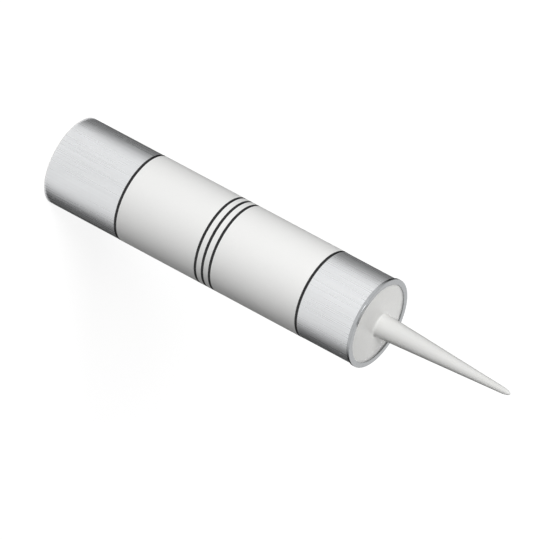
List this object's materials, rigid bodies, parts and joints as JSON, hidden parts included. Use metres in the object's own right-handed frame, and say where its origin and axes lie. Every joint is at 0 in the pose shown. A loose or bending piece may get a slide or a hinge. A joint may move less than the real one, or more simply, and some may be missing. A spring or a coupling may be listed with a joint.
{
  "type": "caulk tube",
  "caption": "Sealant cartridge: foil-faced board barrel with a paper label, rolled end ring, moulded closed nozzle, and an inner plunger that slides up the bore.",
  "frame": {"origin": "centre of the barrel's rear edge, on the surface that it stands on", "axes": "+Z along the barrel's axis towards the nozzle's tip, +Y towards the label's lap"},
  "size_m": [0.0512, 0.0512, 0.2854],
  "materials": {
    "foil_faced_board": "satin foil face on wound board",
    "label_paper": "coated paper, semi-gloss",
    "ring_metal": "bright rolled tinplate",
    "nozzle_plastic": "moulded, satin",
    "seal_foil": "foil",
    "sealant_paste": "smooth paste",
    "plunger_plastic": "moulded, satin"
  },
  "bodies": {
    "cartridge": {"cartridge_tube": "foil_faced_board", "label": "label_paper", "end_ring": "ring_metal", "nozzle_cap": "nozzle_plastic", "inner_seal": "seal_foil", "sealant": "sealant_paste"},
    "plunger": {"plunger": "plunger_plastic"}
  },
  "joints": [
    {"name": "plunger_slide", "type": "slide", "parent": "cartridge", "child": "plunger", "axis": [0, 0, 1], "range_m": [0, 0.163], "deforming": ["sealant"]}
  ]
}
